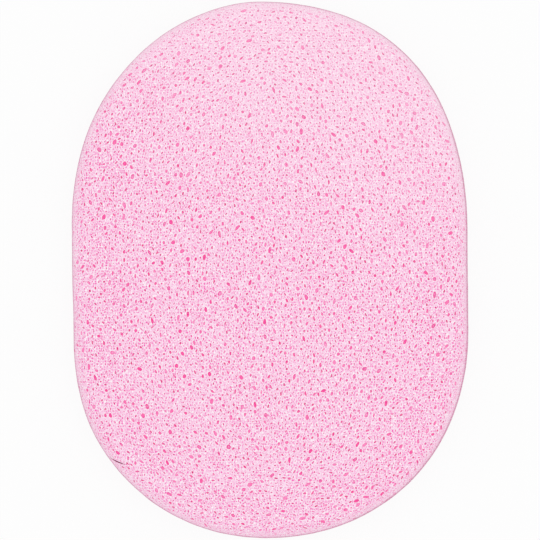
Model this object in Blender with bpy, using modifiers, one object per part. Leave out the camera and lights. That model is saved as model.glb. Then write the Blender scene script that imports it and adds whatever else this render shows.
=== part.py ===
"""An oval cleansing puff: one pad of soft open-cell foam with rounded rims.

Metres, +Z up. The pad lies on its flat back face with its long axis along Y. The origin is on
that face, in the middle of the pad's box.
"""

import math
import random

import bmesh
import bpy
from mathutils import Matrix, Vector
from mathutils.bvhtree import BVHTree

# Overall size
PAD_LENGTH = 0.115
PAD_WIDTH = 0.085
PAD_THICKNESS = 0.010  # at the middle, where the front face is highest

# Section through the pad
FACE_CROWN = 0.0006  # how far the front face rises from its rim to its middle
FRONT_RIM_RADIUS = 0.0032
BACK_RIM_RADIUS = 0.0022
RIM_SEGMENTS = 4
WALL_SLOPE = 0.5  # a face whose normal rises less than this belongs to the wall

# The outline's points, clockwise from the far end: x and y as shares of the half width and half
# length, then the handles before and after the point as shares of the way to its neighbours.
# The foam is cut a little unevenly: the near end is fuller, and the sides lean by a hair.
OUTLINE_SHARES = (
    (-0.06, 1.00, 0.36, 0.89),
    (0.997, 0.13, 0.34, 0.33),
    (1.00, -0.23, 0.33, 0.63),
    (-0.02, -1.00, 0.54, 0.48),
    (-0.991, -0.26, 0.66, 0.33),
    (-1.00, 0.17, 0.33, 0.71),
)
OUTLINE_STEPS = 18  # straight steps on each stretch of the curve
STRAIGHT_ANGLE = math.radians(0.5)  # a smaller turn than this leaves the outline straight

# The crown's rings, each as a share of the way from the outline to the pad's middle line. The
# face is level inside the last one.
CROWN_RING_SHARES = (0.12, 0.24, 0.38)

# The largest open cells, which are oval. Smaller ones are the foam's texture.
FRONT_CELLS = 145
BACK_CELLS = 60
SIDE_CELLS = 30
CELL_WIDTH_MIN = 0.0010
CELL_WIDTH_MAX = 0.0016
CELL_WIDTH_POWER = 2  # above 1, narrow cells outnumber wide ones
CELL_LENGTH_SHARES = (1.0, 1.7)  # of the width, for the roundest and the longest cell
CELL_DEPTH_SHARE = 0.8  # of the width
CELL_FLOOR_SHARE = 0.45  # of the mouth
CELL_SIDES = 7
CELL_LEAN = math.radians(35)  # how far a cell may turn from the pad's long axis
CELL_SPACING = 0.0045  # least distance between the middles of two cells on a face
CELL_FREE_RIM = 0.0050  # the denser band inside the outline, which has no large cell
CELL_TRIES = 60  # places tried on a face for each of its cells
SIDE_CELL_HEIGHT_SHARES = (0.25, 0.75)  # of the wall between the two rims
SIDE_CELL_SHIFT_SHARE = 0.25  # of the way to the next cell round the wall
CELL_SEED = 7
LIP_ANGLE = math.radians(35)  # a sharper turn than this shows as an edge

OVERRUN = 0.0004  # how far a cutter stands out of the face that it cuts
WELD_DISTANCE = 0.00001

FOAM_COLOUR = (0.955, 0.585, 0.765, 1.0)
FOAM_ROUGHNESS = 0.92


def clear_scene():
    for obj in list(bpy.data.objects):
        bpy.data.objects.remove(obj, do_unlink=True)


def new_collection(name):
    collection = bpy.data.collections.new(name)
    bpy.context.scene.collection.children.link(collection)
    return collection


def foam_material():
    material = bpy.data.materials.new("pink_foam")
    material.use_nodes = True
    shader = material.node_tree.nodes["Principled BSDF"]
    shader.inputs["Base Color"].default_value = FOAM_COLOUR
    shader.inputs["Roughness"].default_value = FOAM_ROUGHNESS
    shader.inputs["Metallic"].default_value = 0.0
    return material


def outline_place(shares):
    """Where a point of the outline lies, from its shares."""
    return Vector((shares[0] * PAD_WIDTH / 2, shares[1] * PAD_LENGTH / 2, 0.0))


def outline_curve(height):
    """The outline as a closed, filled curve, extruded to this height and centred on it."""
    curve = bpy.data.curves.new("pad_outline", "CURVE")
    curve.dimensions = "2D"
    curve.fill_mode = "BOTH"
    curve.resolution_u = OUTLINE_STEPS
    curve.extrude = height / 2
    spline = curve.splines.new("BEZIER")
    spline.bezier_points.add(len(OUTLINE_SHARES) - 1)
    spline.use_cyclic_u = True
    for index, shares in enumerate(OUTLINE_SHARES):
        here = outline_place(shares)
        before = outline_place(OUTLINE_SHARES[index - 1]) - here
        after = outline_place(OUTLINE_SHARES[(index + 1) % len(OUTLINE_SHARES)]) - here
        # The curve runs along X through the two ends and along Y through the four side points.
        on_a_side = abs(shares[0]) > abs(shares[1])
        tangent = Vector((0.0, 1.0, 0.0)) if on_a_side else Vector((1.0, 0.0, 0.0))
        point = spline.bezier_points[index]
        point.handle_left_type = "FREE"
        point.handle_right_type = "FREE"
        point.co = here
        point.handle_left = here + tangent * tangent.dot(before) * shares[2]
        point.handle_right = here + tangent * tangent.dot(after) * shares[3]
    return bpy.data.objects.new("pad_outline", curve)


def slab_mesh(collection):
    """The extruded outline as one closed mesh, standing on z = 0, with its front face crowned."""
    height = PAD_THICKNESS - FACE_CROWN
    outline = outline_curve(height)
    collection.objects.link(outline)
    graph = bpy.context.evaluated_depsgraph_get()
    mesh = bpy.data.meshes.new_from_object(outline.evaluated_get(graph))
    bpy.data.objects.remove(outline, do_unlink=True)

    bm = bmesh.new()
    bm.from_mesh(mesh)
    bmesh.ops.remove_doubles(bm, verts=bm.verts, dist=WELD_DISTANCE)
    bmesh.ops.translate(bm, verts=bm.verts, vec=(0.0, 0.0, height / 2))
    # Each flat face becomes one, and the straight sides lose their needless points.
    bmesh.ops.dissolve_limit(bm, angle_limit=STRAIGHT_ANGLE, verts=bm.verts, edges=bm.edges)
    bmesh.ops.recalc_face_normals(bm, faces=bm.faces)
    raise_crown(bm)
    weigh_rims(bm)
    bm.to_mesh(mesh)
    bm.free()
    mesh.name = "foam_pad"
    return mesh


def raise_crown(bm):
    """Rings follow the outline inwards over the front face, each one higher on a parabola."""
    front = max(bm.faces, key=lambda face: face.normal.z)
    inset, rise = 0.0, 0.0
    for share in CROWN_RING_SHARES:
        next_inset = share * PAD_WIDTH / 2
        next_rise = FACE_CROWN * parabola(share) / parabola(CROWN_RING_SHARES[-1])
        bmesh.ops.inset_region(
            bm,
            faces=[front],
            thickness=next_inset - inset,
            depth=next_rise - rise,
            use_even_offset=True,
        )
        inset, rise = next_inset, next_rise


def parabola(share):
    """A dome's height, from 0 at its edge, rising more and more slowly to 1 in its middle."""
    return 1 - (1 - share) ** 2


def weigh_rims(bm):
    """One bevel rounds both rims, and each edge's weight scales the bevel's width to its rim."""
    weight = bm.edges.layers.float.new("bevel_weight_edge")
    for edge in bm.edges:
        walls = [face for face in edge.link_faces if abs(face.normal.z) < WALL_SLOPE]
        if len(walls) == 1:
            in_front = edge.verts[0].co.z > PAD_THICKNESS / 2
            radius = FRONT_RIM_RADIUS if in_front else BACK_RIM_RADIUS
            edge[weight] = radius / max(FRONT_RIM_RADIUS, BACK_RIM_RADIUS)


def foam_pad(collection, material):
    """The pad before its cells are cut."""
    pad = bpy.data.objects.new("foam_pad", slab_mesh(collection))
    collection.objects.link(pad)
    pad.data.materials.clear()
    pad.data.materials.append(material)
    bevel = pad.modifiers.new("rims", "BEVEL")
    bevel.limit_method = "WEIGHT"
    bevel.width = max(FRONT_RIM_RADIUS, BACK_RIM_RADIUS)
    bevel.segments = RIM_SEGMENTS
    return pad


def rim_distance(outline, place):
    """How far a place on a face is from the outline, seen from above."""
    nearest = math.inf
    for start, end in zip(outline, outline[1:] + outline[:1]):
        run = end - start
        share = max(0.0, min(1.0, (place - start).dot(run) / run.dot(run)))
        nearest = min(nearest, (start + run * share - place).length)
    return nearest


def face_spots(surface, outline, side, count, draw):
    """Spread places on the front (1) or back (-1) face, each with the face's normal there."""
    # The middle of each face stays whole.
    taken = [Vector((0.0, 0.0))]
    spots = []
    for _ in range(CELL_TRIES * count):
        if len(spots) == count:
            break
        x = draw.uniform(-PAD_WIDTH / 2, PAD_WIDTH / 2)
        y = draw.uniform(-PAD_LENGTH / 2, PAD_LENGTH / 2)
        place = Vector((x, y))
        if min((place - other).length for other in taken) < CELL_SPACING:
            continue
        outside = Vector((x, y, side * 2 * PAD_THICKNESS))
        hit, normal, _, _ = surface.ray_cast(outside, Vector((0.0, 0.0, -side)))
        if hit is None or rim_distance(outline, place) < CELL_FREE_RIM:
            continue
        taken.append(place)
        spots.append((hit, normal))
    return spots


def side_spots(surface, count, draw):
    """Spread places on the wall between the two rims, each with the wall's normal there."""
    low = BACK_RIM_RADIUS
    high = PAD_THICKNESS - FACE_CROWN - FRONT_RIM_RADIUS
    spots = []
    for index in range(count):
        shift = draw.uniform(-SIDE_CELL_SHIFT_SHARE, SIDE_CELL_SHIFT_SHARE)
        angle = math.tau * (index + shift) / count
        height = low + (high - low) * draw.uniform(*SIDE_CELL_HEIGHT_SHARES)
        outwards = Vector((math.cos(angle), math.sin(angle), 0.0))
        outside = outwards * (PAD_LENGTH + PAD_WIDTH) + Vector((0.0, 0.0, height))
        hit, normal, _, _ = surface.ray_cast(outside, -outwards)
        spots.append((hit, normal))
    return spots


def seat_on(spot, normal):
    """A frame with Z out of the face and Y along the pad or, where the wall faces along it, up."""
    faces_along = abs(normal.y) > abs(normal.x) and abs(normal.z) < WALL_SLOPE
    lengthwise = Vector((0.0, 0.0, 1.0)) if faces_along else Vector((0.0, 1.0, 0.0))
    across = lengthwise.cross(normal).normalized()
    turned = Matrix((across, normal.cross(across), normal)).transposed()
    return Matrix.Translation(spot) @ turned.to_4x4()


def add_cell_cutter(bm, spot, normal, draw):
    """A tapered plug with an oval mouth, square to the face."""
    extra_width = (CELL_WIDTH_MAX - CELL_WIDTH_MIN) * draw.random() ** CELL_WIDTH_POWER
    width = CELL_WIDTH_MIN + extra_width
    depth = CELL_DEPTH_SHARE * width
    floor_radius = CELL_FLOOR_SHARE * width / 2
    taper = (width / 2 - floor_radius) / depth
    turn = Matrix.Rotation(draw.uniform(-CELL_LEAN, CELL_LEAN), 4, "Z")
    stretch = Matrix.Diagonal((1.0, draw.uniform(*CELL_LENGTH_SHARES), 1.0, 1.0))
    sink = Matrix.Translation((0.0, 0.0, (OVERRUN - depth) / 2))
    bmesh.ops.create_cone(
        bm,
        cap_ends=True,
        segments=CELL_SIDES,
        radius1=floor_radius,
        radius2=width / 2 + taper * OVERRUN,
        depth=depth + OVERRUN,
        matrix=seat_on(spot, normal) @ turn @ stretch @ sink,
    )


def cell_cutters(pad, collection):
    """One mesh of plugs for all the large cells, placed on the pad as it is before they are cut."""
    surface = BVHTree.FromObject(pad, bpy.context.evaluated_depsgraph_get())
    back = min(pad.data.polygons, key=lambda face: face.normal.z)
    outline = [pad.data.vertices[index].co.to_2d() for index in back.vertices]
    draw = random.Random(CELL_SEED)
    spots = face_spots(surface, outline, 1, FRONT_CELLS, draw)
    spots += face_spots(surface, outline, -1, BACK_CELLS, draw)
    spots += side_spots(surface, SIDE_CELLS, draw)
    bm = bmesh.new()
    for spot, normal in spots:
        add_cell_cutter(bm, spot, normal, draw)
    mesh = bpy.data.meshes.new("cell_cutters")
    bm.to_mesh(mesh)
    bm.free()
    cutters = bpy.data.objects.new("cell_cutters", mesh)
    collection.objects.link(cutters)
    cutters.hide_render = True
    cutters.display_type = "WIRE"
    return cutters


def cut_cells(pad, cutters):
    """Cuts the cells and keeps the result as the pad's mesh, smooth but for the cells' lips."""
    cells = pad.modifiers.new("open_cells", "BOOLEAN")
    cells.operation = "DIFFERENCE"
    cells.solver = "EXACT"
    cells.object = cutters
    graph = bpy.context.evaluated_depsgraph_get()
    pad.data = bpy.data.meshes.new_from_object(pad.evaluated_get(graph))
    pad.modifiers.clear()
    pad.data.shade_smooth()
    pad.data.set_sharp_from_angle(angle=LIP_ANGLE)


def main():
    clear_scene()
    parts = new_collection("cleansing_puff")
    helpers = new_collection("cutters")
    pad = foam_pad(parts, foam_material())
    cut_cells(pad, cell_cutters(pad, helpers))


main()
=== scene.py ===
"""The looks of an oval cleansing puff: pink open-cell foam, lying on a pale floor.

Metres, +Z up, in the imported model's frame. The foam is one closed mesh. Each half of it, front and
back, is laid out flat on a chart, where the rim and half of the wall are rolled out around the
face. The open cells' mouths are placed and joined up on the chart, and the chart is then wrapped
onto the pad.
"""

import math
import random

import bpy
import numpy as np
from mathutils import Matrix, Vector, noise
from mathutils.geometry import delaunay_2d_cdt


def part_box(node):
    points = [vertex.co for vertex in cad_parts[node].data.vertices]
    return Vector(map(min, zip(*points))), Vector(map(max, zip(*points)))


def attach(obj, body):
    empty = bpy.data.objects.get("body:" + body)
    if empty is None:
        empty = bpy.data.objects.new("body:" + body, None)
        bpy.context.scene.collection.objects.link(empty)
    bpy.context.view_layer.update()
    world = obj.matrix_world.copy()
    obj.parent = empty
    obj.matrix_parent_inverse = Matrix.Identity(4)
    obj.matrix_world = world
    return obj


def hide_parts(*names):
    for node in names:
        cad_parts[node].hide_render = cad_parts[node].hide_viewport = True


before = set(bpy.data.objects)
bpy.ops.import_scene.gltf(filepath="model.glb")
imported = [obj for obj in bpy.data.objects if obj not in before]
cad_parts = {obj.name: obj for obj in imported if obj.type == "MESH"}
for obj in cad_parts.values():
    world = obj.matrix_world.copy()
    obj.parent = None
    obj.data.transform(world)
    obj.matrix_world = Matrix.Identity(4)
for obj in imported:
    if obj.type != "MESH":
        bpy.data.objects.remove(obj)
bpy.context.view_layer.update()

# Overall size, from the frame
pad_low, pad_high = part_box("foam_pad")
PAD_WIDTH = pad_high.x - pad_low.x
PAD_LENGTH = pad_high.y - pad_low.y
PAD_THICKNESS = pad_high.z - pad_low.z

# Section through the pad
FACE_CROWN = 0.0006
CROWN_REACH = 0.018  # from the outline to where the front face is level
FRONT_RIM_RADIUS = 0.0032
BACK_RIM_RADIUS = 0.0022
RIM_ARC = math.pi / 2  # the angle that each rim turns through
SEAM_HEIGHT = 0.0042  # where the front and back halves meet on the wall
FRONT_LEAN = 0.00037  # how far the wall leans in from the seam up to the front rim
FRONT_SHIFT = Vector((-0.00010, 0.00003))  # of the front face against the seam
BACK_SHADE_REACH = 0.5  # share of the back rim's arc over which the wall's painted shade sets in

# The outline's points, clockwise from the far end: x and y as shares of the half width and half
# length, then the handles before and after the point as shares of the way to its neighbours.
OUTLINE_SHARES = (
    (-0.06, 1.00, 0.36, 0.89),
    (0.997, 0.13, 0.34, 0.33),
    (1.00, -0.23, 0.33, 0.63),
    (-0.02, -1.00, 0.54, 0.48),
    (-0.991, -0.26, 0.66, 0.33),
    (-1.00, 0.17, 0.33, 0.71),
)
OUTLINE_FINE_STEPS = 400  # points on each stretch of the curve, before it is divided evenly
OUTLINE_POINTS = 840
SEAM_STEP = 2  # the two halves share every second point of the outline
SEAM_POINTS = OUTLINE_POINTS // SEAM_STEP
FOOT_BATCH = 2000  # places that are set against the outline at once, so that memory holds them

# Unevenness of the foam's surface: how far it rises and falls, and over what length
SWELL_HEIGHT = 0.00010
SWELL_LENGTH = 0.011
RIPPLE_HEIGHT = 0.00004
RIPPLE_LENGTH = 0.0022
FLAT_RECESS = SWELL_HEIGHT + RIPPLE_HEIGHT  # keeps the uneven back above the floor

# Plain points of the skin between the cells: how far apart they are, and how far from the cells
FACE_STEP = 0.0016
FACE_CLEARANCE = 0.00050
RIM_STEP = 0.0009
RIM_CLEARANCE = 0.00025
POINT_STRAY_SHARE = 1 / 3  # of the step, that a point strays at most
CHART_TOLERANCE = 1e-8
INSIDE_OUTLINE = 1  # the kind of triangulation that leaves out what lies outside its outlines

# Open cells
FRONT_CELLS = 8800
BACK_CELLS = 3000
BACK_FACE_CHANCE = 0.3  # that a cell tried on the back face is kept
CELL_WIDTH_MEDIAN = 0.00051
CELL_WIDTH_SPREAD = 0.31  # standard deviation of the width's logarithm
CELL_WIDTH_MIN = 0.00028
CELL_WIDTH_MAX = 0.00108
CELL_LONG_SHARES = (1.1, 2.4)  # length over width, for the roundest and the longest cell
CELL_LEAN = 0.42  # standard deviation, in radians, of the turn from the way that cells lie
CELL_TURN_SHARE = 0.25  # how far a mouth's corner strays round the mouth, of the even step
CELL_BULGE_SHARES = (0.86, 1.14)  # of the even radius, for a mouth's nearest and farthest corner
STRUT_WIDTH_MIN = 0.00028  # the least foam left between two cells
CELL_TRIES = 24  # places tried for each cell
SCATTER_STEP = 0.0013  # side of the squares that are tried in turn, to spread the cells evenly
CELL_SEED = 11

# Where the skin closes up, and where painted light makes the pad paler towards the far right. Along
# the rim, a place is given by how far it is rolled out past the face's edge, as a share of the rim's
# radius.
RIM_CLOSING = (0.3, 0.95)
RIM_OPENING = (1.25, 1.5)
RIM_CELL_SHARE = 0.82  # of the cells, and of their tone, left where the rim is closed
RIM_WIDTH_SHARE = 0.85  # of the cells' width, left there
FAR_LIT_TONE_SHARE = 0.76  # of the tone, left at the far right, where painted light makes the pad paler
FAR_LIT_WAY = Vector((0.4, 1.0)).normalized()
FAR_LIT_REACH_SHARES = (0.0, 0.95)  # of the half length, along that way

# A cell's cup by the width of its mouth: the widest that the row is for, the mouth's corners, then
# each ring's size and depth, and the depth of the middle. Sizes and depths are shares of the width.
FRONT_CUP_SHARES = (
    (0.00034, 4, (), 0.80),
    (0.00058, 5, (), 0.80),
    (0.00070, 5, ((0.82, 0.60),), None),
    (0.00088, 6, ((0.93, 0.45),), 0.85),
    (CELL_WIDTH_MAX, 8, ((0.98, 0.30), (0.74, 0.66)), 0.80),
)
BACK_CUP_SHARES = (
    (0.00060, 5, (), 0.80),
    (CELL_WIDTH_MAX, 6, ((0.90, 0.50),), 0.80),
)
CUP_DEPTH_SHARES = (0.30, 0.95)  # of those depths, for the palest and the deepest cell
TONE_SHARES = (0.66, 1.0)  # of the painted shade in a cell, for the palest and the deepest cell
HOLLOW_STEPS = (0.7, 0.85, 1.0)  # shares of a cell's tone of painted shade at its mouth and at its rings
RAISED_CHANCE = 0.3  # that a large cell's floor swells up in its middle
RAISED_DEPTH_SHARE = 0.42
# A thin skin closes the wider cells just below the mouth, from the first of these widths on, and
# the more so up to the second.
LARGE_WIDTHS = (0.00055, 0.00085)
LARGE_TONE_SHARE = 0.65  # of the tone, left in the widest
LARGE_DEPTH_SHARE = 0.6  # of the depth, left in the widest

# A short cut in the rim at the near left, as the photograph shows
NICK_START = (-0.0346, -0.0399)
NICK_END = (-0.0306, -0.0415)
NICK_WIDTH = 0.00036
NICK_DEPTH = 0.0012
NICK_CORNERS = 6  # on each of its two lips
NICK_RINGS = ((0.9, 0.4), (0.7, 1.0))  # sizes, as shares of the mouth, and shares of the depth

# The foam's material. A texture's scale is how many of its cells or waves a metre holds.
MOTTLE_SCALE = 3400.0
MOTTLE_DETAIL = 1.0
# Colours of the skin by its mottle
SKIN_STOPS = (
    (0.34, (0.930, 0.335, 0.620)),
    (0.50, (0.940, 0.455, 0.702)),
    (0.66, (0.958, 0.620, 0.820)),
)
MICRO_STRETCH = (1.0, 0.70, 1.0)  # the cells too small to be modelled lie along the pad
MICRO_SCALE = 2600.0
MICRO_SPREAD = 0.85  # how unevenly they are spread
MICRO_TONES = (0.20, 0.80)  # their chance tones, for one without a pit and for the deepest
MICRO_SHARE = 0.95  # of the pit's painted shade, in the deepest
# Painted highlight: pale struts between the small cells, where they catch the light.
STRUT_REACH = 0.20  # from the edge between two small cells, in cells
STRUT_SHARES = (0.2, 1.0)  # of the strut's painted highlight, beside one without a pit and the deepest
STRUT_HIGHLIGHT_COLOUR = (0.985, 0.87, 0.95)
# Painted shade: a deeper pink pit in each small cell's middle stands in for its hollow.
PIT_REACH = (0.46, 0.27)  # from a small cell's middle, in cells: where the pit begins and is full
PIT_SHADE_COLOUR = (0.985, 0.07, 0.47)
# Painted highlight: pale flecks on a few closed small cells.
FLECK_TONES = (0.30, 0.23)  # of the small cells that are closed: where that begins and is full
FLECK_REACH = (0.5, 0.38)  # from a closed one's middle, in cells
FLECK_SHARE = 0.85
FLECK_HIGHLIGHT_COLOUR = (0.99, 0.97, 0.985)
LIP_ENDS = (0.74, 0.93)  # how near to a mouth its painted highlight, a pale lip, begins and is full, where 1 is on it
LIP_HIGHLIGHT_COLOUR = (0.98, 0.90, 0.96)
LIP_PIT_SHARE = 0.3  # of a small pit's painted shade, left on a lip
# Paler where the skin closes: partly the closed skin's own colour, partly painted light that lifts
# the rim's shade and the far right.
CLOSED_AND_LIT_COLOUR = (1.0, 0.79, 0.885)
CLOSED_AND_LIT_SHARE = 1.6  # how fast it takes over as the skin closes and the painted light grows, which it never does wholly
# Painted shade by how deep in a modelled cell: a deeper pink, standing in for the shade and the light
# bounced inside it
HOLLOW_SHADE_STOPS = (
    (0.0, (0.985, 0.45, 0.72)),
    (1.0, (0.985, 0.012, 0.365)),
)
# Painted shade: shares of the colour by how far the surface has turned from a face to the wall, which
# is darkened as if it were lit less
WALL_SHADE_STOPS = (
    (0.0, (1.0, 1.0, 1.0)),
    (0.66, (1.0, 1.0, 1.0)),
    (0.79, (0.95, 0.92, 0.935)),
    (0.89, (0.89, 0.83, 0.86)),
    (1.00, (0.79, 0.665, 0.70)),
)
NICK_SHADE_COLOUR = (0.16, 0.10, 0.13)  # painted shade inside the nick
GRAIN_SCALE = 7000.0
GRAIN_DETAIL = 3.0
GRAIN_SHARE = 0.3  # of a pit's depth, that the grain stands up
PIT_DEPTH = 0.00010
BUMP_STRENGTH = 0.6
ROUGHNESS_ENDS = (0.82, 1.0)
SPECULAR_LEVEL = 0.2

# What the mesh tells the material about lips: none, or an axis for each cell that a face touches
NO_LIP = (0.0, 0.0, 0.0)
LIP_AXES = ((1.0, 0.0, 0.0), (0.0, 1.0, 0.0), (0.0, 0.0, 1.0))

# The bake's map
MAP_NAME = "OFBake"
MAP_MARGIN = 0.01
MAP_FLOOR_STEPS = 2  # a cup's floor takes up as much of its map as this many rings

# Sockets of the Mix node, when it mixes colours
MIX_FACTOR = 0
MIX_FIRST = 6
MIX_SECOND = 7
MIX_RESULT = 2

# Floor, light and camera
WHITE = (1.0, 1.0, 1.0)
FLOOR_SIZE = 20.0
FLOOR_COLOUR = (0.85, 0.85, 0.85)
FLOOR_ROUGHNESS = 0.9
FLOOR_WHITE_SHARE = 0.90  # of what the camera sees of the floor. The rest shows its shadows.
WORLD_STRENGTH = 0.90
KEY_PLACE = (0.05, 0.06, 0.7)
KEY_SIZE = 0.7
KEY_ENERGY = 0.7
LENS = 200.0  # this and the sensor in millimetres
SENSOR = 36.0
PHOTO_SIDE = 540  # of the photograph, in pixels
PHOTO_LENGTH = 536.54  # of the pad in it


def bezier(start, after, before, end, steps):
    """Points on a cubic curve from its start up to, but without, its end."""
    t = np.linspace(0, 1, steps, endpoint=False)[:, None]
    s = 1 - t
    return s**3 * start + 3 * s**2 * t * after + 3 * s * t**2 * before + t**3 * end


def outline_curve():
    """The pad's outline as evenly spaced points, anticlockwise, and the outward normal at each."""
    half = np.array((PAD_WIDTH / 2, PAD_LENGTH / 2))
    places = [np.array(row[:2]) * half for row in OUTLINE_SHARES]
    # The curve runs along X through the two ends and along Y through the four side points.
    ways = [np.array((0, 1) if abs(x) > abs(y) else (1, 0)) for x, y, _, _ in OUTLINE_SHARES]
    stretches = []
    for index, (start, way) in enumerate(zip(places, ways)):
        following = (index + 1) % len(places)
        run = places[following] - start
        after = start + way * (way @ run) * OUTLINE_SHARES[index][3]
        before_way = ways[following]
        before = places[following] - before_way * (before_way @ run) * OUTLINE_SHARES[following][2]
        stretches.append(bezier(start, after, before, places[following], OUTLINE_FINE_STEPS))
    fine = np.concatenate(stretches)[::-1]
    closed = np.vstack((fine, fine[:1]))
    lengths = np.concatenate(((0,), np.cumsum(np.linalg.norm(np.diff(closed, axis=0), axis=1))))
    even = np.linspace(0, lengths[-1], OUTLINE_POINTS, endpoint=False)
    points = np.column_stack([np.interp(even, lengths, closed[:, axis]) for axis in (0, 1)])
    along = np.roll(points, -1, axis=0) - np.roll(points, 1, axis=0)
    normals = np.column_stack((along[:, 1], -along[:, 0]))
    return points, normals / np.linalg.norm(normals, axis=1)[:, None]


OUTLINE, OUTWARDS = outline_curve()


def smooth_step(value, low, high):
    """From 0 at the low value to 1 at the high one, level at both ends."""
    share = np.clip((value - low) / (high - low), 0, 1)
    return share * share * (3 - 2 * share)


def between(ends, share):
    """From the first end to the second, by this share."""
    return ends[0] + (ends[1] - ends[0]) * share


def lessened(least, share):
    """From 1 down to the least, by this share."""
    return 1 - (1 - least) * share


def crown(inwards):
    """How far the front face has risen at this distance from the outline."""
    return FACE_CROWN * (1 - (1 - np.clip(inwards / CROWN_REACH, 0, 1)) ** 2)


def rim_radius(side):
    return FRONT_RIM_RADIUS if side > 0 else BACK_RIM_RADIUS


def wall_height(side):
    """How much of the straight wall belongs to this half."""
    if side > 0:
        return PAD_THICKNESS - FACE_CROWN - FRONT_RIM_RADIUS - SEAM_HEIGHT
    return SEAM_HEIGHT - BACK_RIM_RADIUS


def chart_reach(side):
    """How far the chart's edge lies outside the outline."""
    radius = rim_radius(side)
    return radius * RIM_ARC + wall_height(side) - radius


def foot_on_outline(places):
    """The outline's point beneath each place, the outward normal there, and how far inwards of
    it the place lies."""
    feet = np.empty(len(places), int)
    for begin in range(0, len(places), FOOT_BATCH):
        batch = places[begin : begin + FOOT_BATCH, None, :]
        feet[begin : begin + FOOT_BATCH] = ((batch - OUTLINE[None]) ** 2).sum(2).argmin(1)
    out = ((places - OUTLINE[feet]) * OUTWARDS[feet]).sum(1)[:, None]
    tangents = np.column_stack((-OUTWARDS[feet, 1], OUTWARDS[feet, 0]))
    ahead = ((places - OUTLINE[feet]) * tangents).sum(1) > 0
    others = (feet + np.where(ahead, 1, -1)) % OUTLINE_POINTS
    start = OUTLINE[feet] + out * OUTWARDS[feet]
    run = OUTLINE[others] + out * OUTWARDS[others] - start
    share = np.clip(((places - start) * run).sum(1) / (run**2).sum(1), 0, 1)[:, None]
    foot = OUTLINE[feet] + share * (OUTLINE[others] - OUTLINE[feet])
    outwards = OUTWARDS[feet] + share * (OUTWARDS[others] - OUTWARDS[feet])
    outwards /= np.linalg.norm(outwards, axis=1)[:, None]
    return foot, outwards, ((foot - places) * outwards).sum(1)


def relief(points, normals):
    """How far the uneven foam stands off its smooth shape."""
    swell = np.array([noise.noise(Vector(point) / SWELL_LENGTH) for point in points])
    ripple = np.array([noise.noise(Vector(point) / RIPPLE_LENGTH) for point in points])
    recess = FLAT_RECESS * np.maximum(-normals[:, 2], 0)
    return SWELL_HEIGHT * swell + RIPPLE_HEIGHT * ripple - recess


def wrap(places, side):
    """Where the chart's places lie on the pad, and how far each has turned from a face, at 0, to
    the wall, at 1, which sets the wall's painted shade and which the back half reaches sooner.
    The front half has side 1 and the back half -1."""
    radius = rim_radius(side)
    foot, outwards, inwards = foot_on_outline(places)
    rolled = np.maximum(radius - inwards, 0)
    angle = np.minimum(rolled / radius, RIM_ARC)
    down = np.maximum(rolled - radius * RIM_ARC, 0)
    drop = radius * (1 - np.cos(angle)) + down
    turned = angle / RIM_ARC
    lean = FRONT_LEAN - outwards @ np.array(FRONT_SHIFT)
    lean *= turned * (1 - down / wall_height(side)) * (side > 0)
    plan_inwards = np.where(rolled > 0, radius * (1 - np.sin(angle)), inwards) + lean
    plan = np.where((rolled > 0)[:, None], foot - outwards * plan_inwards[:, None], places)
    top = PAD_THICKNESS - FACE_CROWN + crown(plan_inwards) - drop
    height = top if side > 0 else drop
    normals = np.column_stack((outwards * np.sin(angle)[:, None], side * np.cos(angle)))
    points = np.column_stack((plan, height))
    points += normals * relief(points, normals)[:, None]
    # On the back, the wall's painted shade sets in sooner round the rim.
    return points, turned if side > 0 else smooth_step(turned, 0, BACK_SHADE_REACH)


def rolled_out(places, side):
    """How far each of the chart's places is rolled out past the face's edge, and whether it is
    on the chart at all."""
    inwards = foot_on_outline(places)[2]
    return np.maximum(rim_radius(side) - inwards, 0), -inwards < chart_reach(side)


def rim_closed(rolled_shares):
    """How closed the skin is along the rim: fully so in a band below the face."""
    return smooth_step(rolled_shares, *RIM_CLOSING) * (1 - smooth_step(rolled_shares, *RIM_OPENING))


def openness_and_far_light(places, side):
    """How open the foam's skin is at each place on the chart, as a share, lessened also by painted
    light towards the far right.
    """
    closed = rim_closed(rolled_out(places, side)[0] / rim_radius(side))
    far = smooth_step(places @ np.array(FAR_LIT_WAY) / (PAD_LENGTH / 2), *FAR_LIT_REACH_SHARES)
    return lessened(RIM_CELL_SHARE, closed) * lessened(FAR_LIT_TONE_SHARE, far)


class Grid:
    """Cells kept by place, to find those near a point."""

    def __init__(self, step, long_cells):
        self.step = step
        self.squares = {}
        self.long_cells = long_cells  # too long to be found by their middles

    def square(self, x, y):
        return math.floor(x / self.step), math.floor(y / self.step)

    def add(self, cell):
        self.squares.setdefault(self.square(cell["x"], cell["y"]), []).append(cell)

    def near(self, x, y):
        yield from self.long_cells
        column, row = self.square(x, y)
        for i in (column - 1, column, column + 1):
            for j in (row - 1, row, row + 1):
                yield from self.squares.get((i, j), ())


def reach_towards(cell, angle):
    """An oval cell's radius in this direction."""
    turn = angle - cell["turn"]
    return cell["long"] * cell["short"] / math.hypot(
        cell["short"] * math.cos(turn), cell["long"] * math.sin(turn)
    )


def fits(cell, grid):
    """Whether the cell leaves a strut between itself and every cell placed before it."""
    for other in grid.near(cell["x"], cell["y"]):
        dx, dy = other["x"] - cell["x"], other["y"] - cell["y"]
        angle = math.atan2(dy, dx)
        least = reach_towards(cell, angle) + reach_towards(other, angle) + STRUT_WIDTH_MIN
        if math.hypot(dx, dy) < least:
            return False
    return True


def is_clear(point, clearance, grid):
    """Whether the point keeps this distance from every cell."""
    for cell in grid.near(*point):
        dx, dy = point[0] - cell["x"], point[1] - cell["y"]
        if math.hypot(dx, dy) < reach_towards(cell, math.atan2(dy, dx)) + clearance:
            return False
    return True


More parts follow.
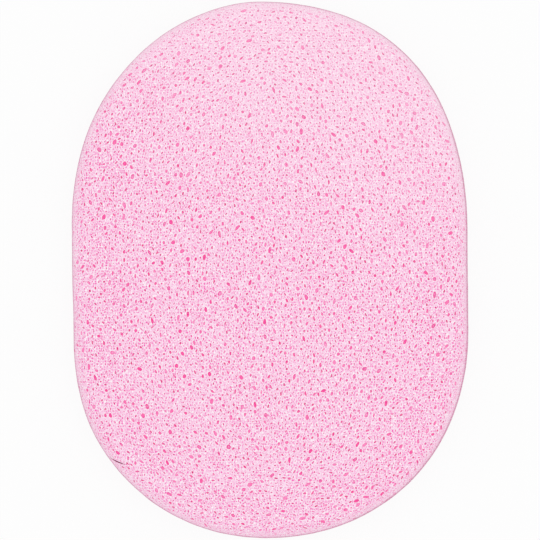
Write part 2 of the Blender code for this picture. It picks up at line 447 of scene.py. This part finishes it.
def lie(x, y):
    """The way that cells lie here: along the pad in its middle, and with the outline round it."""
    across, along = x / (PAD_WIDTH / 2), y / (PAD_LENGTH / 2)
    outline_way = math.atan2(across / PAD_WIDTH, -along / PAD_LENGTH)
    share = min(across**2 + along**2, 1)
    # Opposite ways are the same to a long cell, so the two ways' doubled angles are averaged.
    doubled_x = share * math.cos(2 * outline_way) - (1 - share)
    doubled_y = share * math.sin(2 * outline_way)
    return math.atan2(doubled_y, doubled_x) / 2


def scattered(spread, count, draw):
    """Places all over a box, one in every square of it before any square has its next."""
    columns, rows = (math.ceil(2 * half / SCATTER_STEP) for half in spread)
    squares = [(column, row) for column in range(columns) for row in range(rows)]
    places = []
    while len(places) < count:
        draw.shuffle(squares)
        for column, row in squares:
            x = (column + draw.random()) * SCATTER_STEP
            y = (row + draw.random()) * SCATTER_STEP
            places.append((x, y))
    return np.array(places[:count]) - np.array(spread)


def cell_widths(count, draw):
    """The cells' widths, the widest first."""
    widths = []
    while len(widths) < count:
        width = CELL_WIDTH_MEDIAN * math.exp(draw.gauss(0, CELL_WIDTH_SPREAD))
        if CELL_WIDTH_MIN <= width <= CELL_WIDTH_MAX:
            widths.append(width)
    return sorted(widths, reverse=True)


def place_cells(side, count, nick, draw):
    """Scatters the cells over one half's chart, the widest first."""
    reach = chart_reach(side)
    radius = rim_radius(side)
    widths = cell_widths(count, draw)
    tries = CELL_TRIES * count
    places = scattered((PAD_WIDTH / 2 + reach, PAD_LENGTH / 2 + reach), tries, draw)
    rolled, on_chart = rolled_out(places, side)
    closed_shares = rim_closed(rolled / radius)
    longest = CELL_WIDTH_MAX * math.sqrt(CELL_LONG_SHARES[1])
    grid = Grid(longest + STRUT_WIDTH_MIN, [nick] if nick else [])
    cells = []
    for index in range(tries):
        if len(cells) == count:
            break
        closed = closed_shares[index]
        chance = lessened(RIM_CELL_SHARE, closed)
        if side < 0 and rolled[index] == 0:
            chance = BACK_FACE_CHANCE
        if not on_chart[index] or draw.random() > chance:
            continue
        width = widths[len(cells)] * lessened(RIM_WIDTH_SHARE, closed)
        stretch = math.sqrt(draw.uniform(*CELL_LONG_SHARES))
        cell = {
            "x": places[index][0],
            "y": places[index][1],
            "long": width / 2 * stretch,
            "short": width / 2 / stretch,
            "width": width,
            "turn": lie(*places[index]) + draw.gauss(0, CELL_LEAN),
        }
        clear_of_seam = rolled[index] + cell["long"] * CELL_BULGE_SHARES[1] < reach + radius
        if clear_of_seam and fits(cell, grid):
            grid.add(cell)
            cells.append(cell)
    return cells, grid


def unroll(place):
    """The place on the front chart of a point that is seen from above."""
    foot, outwards, inwards = foot_on_outline(np.array([place]))
    flat = 1 - min(inwards[0] / FRONT_RIM_RADIUS, 1)
    rolled = FRONT_RIM_RADIUS * math.asin(flat)
    return foot[0] + outwards[0] * (rolled - FRONT_RIM_RADIUS) if rolled > 0 else np.array(place)


def nick_cell():
    """The nick as a cell, so that the others keep clear of it."""
    start, end = unroll(NICK_START), unroll(NICK_END)
    middle, run = (start + end) / 2, end - start
    return {
        "x": middle[0],
        "y": middle[1],
        "long": np.linalg.norm(run) / 2,
        "short": NICK_WIDTH / 2,
        "width": NICK_WIDTH,
        "turn": math.atan2(run[1], run[0]),
    }


def place_on(cell, along, across):
    """The place on the chart of a point given along and across a cell."""
    cos, sin = math.cos(cell["turn"]), math.sin(cell["turn"])
    return cell["x"] + along * cos - across * sin, cell["y"] + along * sin + across * cos


def nick_mouth(cell, draw):
    """Two lips that part in the middle and close at the ends."""
    corners = []
    for lip in (-1, 1):
        for index in range(NICK_CORNERS):
            share = lip * (2 * index / NICK_CORNERS - 1)
            gape = lip * cell["short"] * (1 - share * share) * draw.uniform(*CELL_BULGE_SHARES)
            corners.append(place_on(cell, -share * cell["long"], gape if index else 0.0))
    return corners


def cup_of(cell, side):
    """The row of cup shares that a cell of this width has."""
    rows = FRONT_CUP_SHARES if side > 0 else BACK_CUP_SHARES
    return next(row for row in rows if cell["width"] <= row[0])


def cell_mouth(cell, side, draw):
    """The corners of an uneven oval, anticlockwise."""
    count = cup_of(cell, side)[1]
    phase = draw.random()
    corners = []
    for index in range(count):
        stray = draw.uniform(-CELL_TURN_SHARE, CELL_TURN_SHARE)
        angle = (index + phase + stray) * math.tau / count
        bulge = draw.uniform(*CELL_BULGE_SHARES)
        along = cell["long"] * bulge * math.cos(angle)
        across = cell["short"] * bulge * math.sin(angle)
        corners.append(place_on(cell, along, across))
    return corners


def skin_points(side, grid, draw):
    """An uneven lattice of plain points, finer round the rim, clear of every cell."""
    radius = rim_radius(side)
    reach = chart_reach(side)
    kept = []
    for step, clearance, on_rim in (
        (FACE_STEP, FACE_CLEARANCE, False),
        (RIM_STEP, RIM_CLEARANCE, True),
    ):
        across = np.arange(-PAD_WIDTH / 2 - reach, PAD_WIDTH / 2 + reach, step)
        along = np.arange(-PAD_LENGTH / 2 - reach, PAD_LENGTH / 2 + reach, step)
        lattice = np.array([(x, y) for x in across for y in along])
        strays = [[draw.uniform(-step, step) for _ in "xy"] for _ in lattice]
        lattice += np.array(strays) * POINT_STRAY_SHARE
        rolled, on_chart = rolled_out(lattice, side)
        inside = on_chart & (rolled < reach + radius - step / 2) & ((rolled > 0) == on_rim)
        kept += [point for point in lattice[inside] if is_clear(point, clearance, grid)]
    return kept


def joined_up(side, cells, mouths, skin):
    """The chart's points and the skin's triangles between the mouths. Its first points are the
    seam's, and the mouths' corners follow. A cell that would cut another is left out."""
    seam = OUTLINE[::SEAM_STEP] + OUTWARDS[::SEAM_STEP] * chart_reach(side)
    while True:
        points = [Vector(point) for point in seam]
        loops = []
        for corners in mouths:
            loops.append(list(range(len(points), len(points) + len(corners))))
            points += [Vector(corner) for corner in corners]
        points += [Vector(point) for point in skin]
        outlines = [list(range(len(seam)))] + loops
        _, _, found, point_origins, _, owners = delaunay_2d_cdt(
            points, [], outlines, INSIDE_OUTLINE, CHART_TOLERANCE, True
        )
        # A triangle is owned by every outline that it lies in: by the seam's alone, on the skin.
        clashing = {max(owner) - 1 for owner in owners if len(owner) > 2}
        if not clashing:
            break
        cells = [cell for index, cell in enumerate(cells) if index not in clashing]
        mouths = [corners for index, corners in enumerate(mouths) if index not in clashing]
    source = [origins[0] for origins in point_origins]
    triangles = [
        [source[corner] for corner in triangle]
        for triangle, owner in zip(found, owners)
        if list(owner) == [0]
    ]
    return np.array(points), triangles, cells, loops


class Foam:
    """The growing mesh: its points, with what the material reads there, and its faces."""

    def __init__(self):
        self.points = []
        self.turned = []  # from a face, at 0, to the wall, at 1, which sets the wall's painted shade
        self.open = []  # how open the skin is, lessened also by painted light at the far right
        self.cut = []  # 1 inside the nick, where its painted shade goes
        self.places = []  # on the chart
        self.faces = []
        self.sides = []
        self.hollow = []  # at each face's corners: how deep in a cell, from 0 on the skin, which sets its painted shade
        self.lips = []  # and on the skin, an axis for each of the cells that a face touches, for the lips' painted highlight
        self.mouths = set()  # the edges that part the skin from the cells

    def add_points(self, points, turned, opened_and_lit, cut, places):
        first = len(self.points)
        self.points += list(points)
        self.turned += list(turned)
        self.open += list(opened_and_lit)
        self.cut += [cut] * len(points)
        self.places += list(places)
        return list(range(first, len(self.points)))

    def add_face(self, corners, hollow, side, lips=None):
        """Adds a face whose corners run anticlockwise on the chart, so the back's are reversed."""
        self.faces.append(corners[::side])
        self.hollow += hollow[::side]
        self.lips += (lips or [NO_LIP] * len(corners))[::side]
        self.sides.append(side)


def add_cup(foam, side, mouth, rings, middle_depth, depth_scale, tone, cut=0.0):
    """Hangs a cell's cup from its mouth: rings of wall, then a floor or a middle point."""
    edge = np.array([foam.points[index] for index in mouth])
    places = np.array([foam.places[index] for index in mouth])
    turned = [foam.turned[index] for index in mouth]
    opened_and_lit = [foam.open[index] for index in mouth]
    centre, place = edge.mean(0), places.mean(0)
    spans = np.roll(edge, -1, axis=0) - edge
    inwards = -np.cross(edge - centre, spans).sum(0) * side
    inwards /= np.linalg.norm(inwards)
    foam.mouths |= {frozenset(pair) for pair in zip(mouth, mouth[1:] + mouth[:1])}
    above, hollow_above = mouth, tone * HOLLOW_STEPS[0]
    for number, (size, depth) in enumerate(rings, 1):
        ring = centre + (edge - centre) * size + inwards * depth * depth_scale
        chart = place + (places - place) * (1 - number / (len(rings) + MAP_FLOOR_STEPS))
        hollow = tone * HOLLOW_STEPS[number]
        below = foam.add_points(ring, turned, opened_and_lit, cut, chart)
        for index, (a, b) in enumerate(zip(above, above[1:] + above[:1])):
            c, d = below[(index + 1) % len(below)], below[index]
            foam.add_face([a, b, c, d], [hollow_above, hollow_above, hollow, hollow], side)
        above, hollow_above = below, hollow
    if middle_depth is None:
        foam.add_face(above, [hollow_above] * len(above), side)
        return
    tip = centre + inwards * middle_depth * depth_scale
    raised = rings and middle_depth < rings[-1][1]
    hollow = tone * (HOLLOW_STEPS[0] if raised else HOLLOW_STEPS[-1])
    (apex,) = foam.add_points([tip], turned[:1], opened_and_lit[:1], cut, [place])
    for a, b in zip(above, above[1:] + above[:1]):
        foam.add_face([a, b, apex], [hollow_above, hollow_above, hollow], side)


def add_cell(foam, side, cell, mouth, draw):
    """Adds an open cell's cup, of a depth and a tone of painted shade of its own."""
    rings, middle = cup_of(cell, side)[2:]
    if len(rings) > 1 and draw.random() < RAISED_CHANCE:
        middle = RAISED_DEPTH_SHARE
    large = smooth_step(cell["width"], *LARGE_WIDTHS)
    rank = draw.random() * lessened(LARGE_TONE_SHARE, large)
    depth = cell["width"] * between(CUP_DEPTH_SHARES, rank)
    depth *= lessened(LARGE_DEPTH_SHARE, large)
    tone = foam.open[mouth[0]] * between(TONE_SHARES, rank)
    add_cup(foam, side, mouth, rings, middle, depth, tone)


def add_half(foam, side, count, seam, draw):
    """Adds the front (1) or back (-1) half, and returns its seam's points and its chart."""
    nick = nick_cell() if side > 0 else None
    cells, grid = place_cells(side, count, nick, draw)
    mouths = [cell_mouth(cell, side, draw) for cell in cells]
    if nick:
        cells.insert(0, nick)
        mouths.insert(0, nick_mouth(nick, draw))
    chart, triangles, cells, loops = joined_up(side, cells, mouths, skin_points(side, grid, draw))
    points, turned = wrap(chart, side)
    opened_and_lit = openness_and_far_light(chart, side)
    shared = len(seam)
    own = foam.add_points(points[shared:], turned[shared:], opened_and_lit[shared:], 0.0, chart[shared:])
    order = seam + own
    cell_of = {corner: number for number, loop in enumerate(loops) for corner in loop}
    for triangle in triangles:
        # Corners on the same cell have the same axis, so its lip runs on between them.
        touched = [cell_of.get(corner) for corner in triangle]
        lips = [NO_LIP if cell is None else LIP_AXES[touched.index(cell)] for cell in touched]
        foam.add_face([order[corner] for corner in triangle], [0.0] * 3, side, lips)
    for cell, loop in zip(cells, loops):
        mouth = [order[corner] for corner in loop]
        if cell is nick:
            add_cup(foam, side, mouth, NICK_RINGS, None, NICK_DEPTH, tone=1.0, cut=1.0)
        else:
            add_cell(foam, side, cell, mouth, draw)
    return order[:SEAM_POINTS], chart


def map_places(foam, seam, back_chart):
    """Each face corner's place on the bake's map: the front's chart left, the back's right."""
    reach = max(chart_reach(1), chart_reach(-1))
    half_width, half_length = PAD_WIDTH / 2 + reach, PAD_LENGTH / 2 + reach
    # Two charts lie side by side, with a margin at both sides of each.
    scale = (1 - 4 * MAP_MARGIN) / (4 * half_width)
    back_places = dict(zip(seam, back_chart))
    corners = []
    for face, side in zip(foam.faces, foam.sides):
        start = MAP_MARGIN if side > 0 else 0.5 + MAP_MARGIN
        for index in face:
            x, y = back_places.get(index, foam.places[index]) if side < 0 else foam.places[index]
            across = start + (side * x + half_width) * scale
            corners.append((across, MAP_MARGIN + (y + half_length) * scale))
    return np.array(corners)


def foam_object():
    """The foam's mesh, with its readings for the material and its map."""
    draw = random.Random(CELL_SEED)
    foam = Foam()
    seam, _ = add_half(foam, 1, FRONT_CELLS, [], draw)
    _, back_chart = add_half(foam, -1, BACK_CELLS, seam, draw)
    mesh = bpy.data.meshes.new("foam_sponge")
    mesh.from_pydata([tuple(point) for point in foam.points], [], foam.faces)
    for name, values, domain in (
        ("hollow", foam.hollow, "CORNER"),
        ("turned", foam.turned, "POINT"),
        ("open", foam.open, "POINT"),
        ("cut", foam.cut, "POINT"),
    ):
        attribute = mesh.attributes.new(name, "FLOAT", domain)
        attribute.data.foreach_set("value", np.array(values, np.float32))
    attribute = mesh.attributes.new("lip", "FLOAT_VECTOR", "CORNER")
    attribute.data.foreach_set("vector", np.array(foam.lips, np.float32).ravel())
    layer = mesh.uv_layers.new(name=MAP_NAME)
    layer.uv.foreach_set("vector", map_places(foam, seam, back_chart).ravel())
    mesh.shade_smooth()
    for edge in mesh.edges:
        edge.use_edge_sharp = frozenset(edge.vertices) in foam.mouths
    obj = bpy.data.objects.new("foam_sponge", mesh)
    bpy.context.scene.collection.objects.link(obj)
    return obj


def node(tree, kind, inputs=None, **settings):
    """A shader node with these settings, whose inputs are values or other nodes' outputs."""
    made = tree.nodes.new(kind)
    for name, value in settings.items():
        setattr(made, name, value)
    for name, value in (inputs or {}).items():
        socket = made.inputs[name]
        if isinstance(value, bpy.types.NodeSocket):
            tree.links.new(value, socket)
        else:
            socket.default_value = value
    return made


def opaque(colour):
    return (*colour, 1.0)


def ramp(tree, factor, stops):
    """A colour that runs through the stops as the factor rises."""
    made = node(tree, "ShaderNodeValToRGB", {"Fac": factor})
    elements = made.color_ramp.elements
    while len(elements) < len(stops):
        elements.new(1.0)
    for element, (place, colour) in zip(elements, stops):
        element.position = place
        element.color = opaque(colour)
    return made.outputs["Color"]


def mixed(tree, factor, first, second, blend="MIX"):
    """The first colour, changed by the second as far as the factor says."""
    inputs = {MIX_FACTOR: factor, MIX_FIRST: first, MIX_SECOND: second}
    made = node(tree, "ShaderNodeMix", inputs, data_type="RGBA", blend_type=blend)
    return made.outputs[MIX_RESULT]


def maths(tree, operation, *values):
    """The result of one operation on these values."""
    return node(tree, "ShaderNodeMath", dict(enumerate(values)), operation=operation).outputs[0]


def carried(tree, value, source, target=(0.0, 1.0)):
    """A value carried from the source's range over to the target's, and held at its ends."""
    inputs = {
        "Value": value,
        "From Min": source[0],
        "From Max": source[1],
        "To Min": target[0],
        "To Max": target[1],
    }
    return node(tree, "ShaderNodeMapRange", inputs).outputs["Result"]


def reading(tree, name, output="Fac"):
    """One of the mesh's own readings."""
    return node(tree, "ShaderNodeAttribute", attribute_name=name).outputs[output]


def noise_texture(tree, place, scale, detail):
    inputs = {"Vector": place, "Scale": scale, "Detail": detail}
    return node(tree, "ShaderNodeTexNoise", inputs).outputs["Fac"]


def small_cells(tree, place, feature="F1"):
    """The pattern of the cells that are too small to be modelled."""
    inputs = {"Vector": place, "Scale": MICRO_SCALE, "Randomness": MICRO_SPREAD}
    return node(tree, "ShaderNodeTexVoronoi", inputs, feature=feature).outputs


def lip_share(tree):
    """How far each place is on the pale lip of a modelled cell, a painted highlight. Close to a
    mouth, one of the three readings nears 1."""
    nearness = node(tree, "ShaderNodeSeparateXYZ", {"Vector": reading(tree, "lip", "Vector")}).outputs
    nearest = maths(tree, "MAXIMUM", nearness[0], nearness[1])
    nearest = maths(tree, "MAXIMUM", nearest, nearness[2])
    return carried(tree, nearest, LIP_ENDS)


def foam_skin(tree, place, opened_and_lit):
    """The colour of the skin between the modelled cells, with its painted highlights and its small
    pits' painted shade, and how strong those pits are.
    """
    skin = ramp(tree, noise_texture(tree, place, MOTTLE_SCALE, MOTTLE_DETAIL), SKIN_STOPS)
    cells = small_cells(tree, place)
    tone, distance = cells["Color"], cells["Distance"]
    # Painted highlight: pale struts part the small cells, and are palest round the deepest.
    border = small_cells(tree, place, "DISTANCE_TO_EDGE")["Distance"]
    strut_share = carried(tree, tone, MICRO_TONES, STRUT_SHARES)
    strut = carried(tree, border, (0.0, STRUT_REACH), (strut_share, 0.0))
    skin = mixed(tree, strut, skin, opaque(STRUT_HIGHLIGHT_COLOUR))
    # Painted highlight on the pale lips round the modelled cells.
    lip = lip_share(tree)
    skin = mixed(tree, lip, skin, opaque(LIP_HIGHLIGHT_COLOUR))
    # Painted highlight: a few of the small cells are closed, and catch the light.
    fleck_share = carried(tree, tone, FLECK_TONES, (0.0, FLECK_SHARE))
    fleck = carried(tree, distance, FLECK_REACH, (0.0, fleck_share))
    skin = mixed(tree, fleck, skin, opaque(FLECK_HIGHLIGHT_COLOUR))
    # Painted shade: the others have a pink pit in the middle, fainter where the skin closes, towards
    # the far right and on the lips.
    pit_share = carried(tree, tone, MICRO_TONES, (0.0, MICRO_SHARE))
    pit = carried(tree, distance, PIT_REACH, (0.0, pit_share))
    pit = maths(tree, "MULTIPLY", pit, opened_and_lit)
    pit = maths(tree, "MULTIPLY", pit, carried(tree, lip, (0.0, 1.0), (1.0, LIP_PIT_SHARE)))
    skin = mixed(tree, pit, skin, opaque(PIT_SHADE_COLOUR))
    # Paler where the skin closes, partly its own colour and partly painted light on the rim and at
    # the far right.
    closed = carried(tree, opened_and_lit, (1.0, 0.0), (0.0, CLOSED_AND_LIT_SHARE))
    return mixed(tree, closed, skin, opaque(CLOSED_AND_LIT_COLOUR)), pit


def foam_material():
    """Pale mottled skin with painted highlights, and painted shade: deeper pink inside the cells,
    darker on the wall and dark in the nick.
    """
    material = bpy.data.materials.new("pink_foam")
    material.use_nodes = True
    tree = material.node_tree
    shader = tree.nodes["Principled BSDF"]
    place = node(tree, "ShaderNodeTexCoord").outputs["Object"]
    stretched = node(tree, "ShaderNodeMapping", {"Vector": place, "Scale": MICRO_STRETCH}).outputs[0]
    skin, pit = foam_skin(tree, stretched, reading(tree, "open"))
    hollow = reading(tree, "hollow")
    # Painted shade deepens the pink inside the modelled cells.
    colour = mixed(tree, hollow, skin, ramp(tree, hollow, HOLLOW_SHADE_STOPS))
    # Painted shade darkens the wall and the rim next to it.
    edge = ramp(tree, reading(tree, "turned"), WALL_SHADE_STOPS)
    colour = mixed(tree, 1.0, colour, edge, "MULTIPLY")
    # Painted shade inside the nick.
    colour = mixed(tree, reading(tree, "cut"), colour, opaque(NICK_SHADE_COLOUR))
    tree.links.new(colour, shader.inputs["Base Color"])

    grain = noise_texture(tree, place, GRAIN_SCALE, GRAIN_DETAIL)
    sunk = maths(tree, "MULTIPLY", pit, -1.0)
    height = maths(tree, "MULTIPLY_ADD", grain, GRAIN_SHARE, sunk)
    inputs = {"Strength": BUMP_STRENGTH, "Distance": PIT_DEPTH, "Height": height}
    bump = node(tree, "ShaderNodeBump", inputs)
    tree.links.new(bump.outputs["Normal"], shader.inputs["Normal"])
    tree.links.new(carried(tree, grain, (0.0, 1.0), ROUGHNESS_ENDS), shader.inputs["Roughness"])
    shader.inputs["Specular IOR Level"].default_value = SPECULAR_LEVEL
    return material


def add_floor():
    """A pale floor, which the camera sees as nearly white, with the object's shadow."""
    half = FLOOR_SIZE / 2
    corners = [(-half, -half, 0), (half, -half, 0), (half, half, 0), (-half, half, 0)]
    mesh = bpy.data.meshes.new("floor")
    mesh.from_pydata(corners, [], [(0, 1, 2, 3)])
    floor = bpy.data.objects.new("floor", mesh)
    bpy.context.scene.collection.objects.link(floor)
    material = bpy.data.materials.new("floor")
    material.use_nodes = True
    tree = material.node_tree
    shader = tree.nodes["Principled BSDF"]
    shader.inputs["Base Color"].default_value = opaque(FLOOR_COLOUR)
    shader.inputs["Roughness"].default_value = FLOOR_ROUGHNESS
    seen = node(tree, "ShaderNodeLightPath").outputs["Is Camera Ray"]
    share = maths(tree, "MULTIPLY", seen, FLOOR_WHITE_SHARE)
    white = node(tree, "ShaderNodeEmission", {"Color": opaque(WHITE), "Strength": 1.0}).outputs[0]
    shown = node(tree, "ShaderNodeMixShader", {0: share, 1: shader.outputs[0], 2: white}).outputs[0]
    tree.links.new(shown, tree.nodes["Material Output"].inputs["Surface"])
    mesh.materials.append(material)


def add_world():
    """Even light from all sides. The camera sees plain white in its place."""
    world = bpy.data.worlds.new("studio")
    bpy.context.scene.world = world
    world.use_nodes = True
    tree = world.node_tree
    ambient = tree.nodes["Background"]
    ambient.inputs["Color"].default_value = opaque(WHITE)
    ambient.inputs["Strength"].default_value = WORLD_STRENGTH
    seen = node(tree, "ShaderNodeLightPath").outputs["Is Camera Ray"]
    white = node(tree, "ShaderNodeBackground", {"Color": opaque(WHITE), "Strength": 1.0}).outputs[0]
    shown = node(tree, "ShaderNodeMixShader", {0: seen, 1: ambient.outputs[0], 2: white}).outputs[0]
    tree.links.new(shown, tree.nodes["World Output"].inputs["Surface"])


def add_key_light():
    """A soft square lamp, nearly overhead and turned to the pad."""
    data = bpy.data.lights.new("key", "AREA")
    data.shape = "SQUARE"
    data.size = KEY_SIZE
    data.energy = KEY_ENERGY
    light = bpy.data.objects.new("key", data)
    light.location = KEY_PLACE
    light.rotation_mode = "QUATERNION"
    light.rotation_quaternion = (-Vector(KEY_PLACE)).to_track_quat("-Z", "Y")
    bpy.context.scene.collection.objects.link(light)


def add_camera():
    """Looks straight down from where the pad's widest level is as long as in the photograph."""
    data = bpy.data.cameras.new("camera")
    data.lens = LENS
    data.sensor_width = SENSOR
    camera = bpy.data.objects.new("camera", data)
    span = PAD_LENGTH * PHOTO_SIDE / PHOTO_LENGTH
    camera.location = (0.0, 0.0, SEAM_HEIGHT + span * LENS / SENSOR)
    bpy.context.scene.collection.objects.link(camera)
    bpy.context.scene.camera = camera


foam = foam_object()
foam.data.materials.append(foam_material())
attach(foam, "root")
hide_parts("foam_pad")
add_floor()
add_world()
add_key_light()
add_camera()
bpy.context.scene.view_settings.view_transform = "Standard"
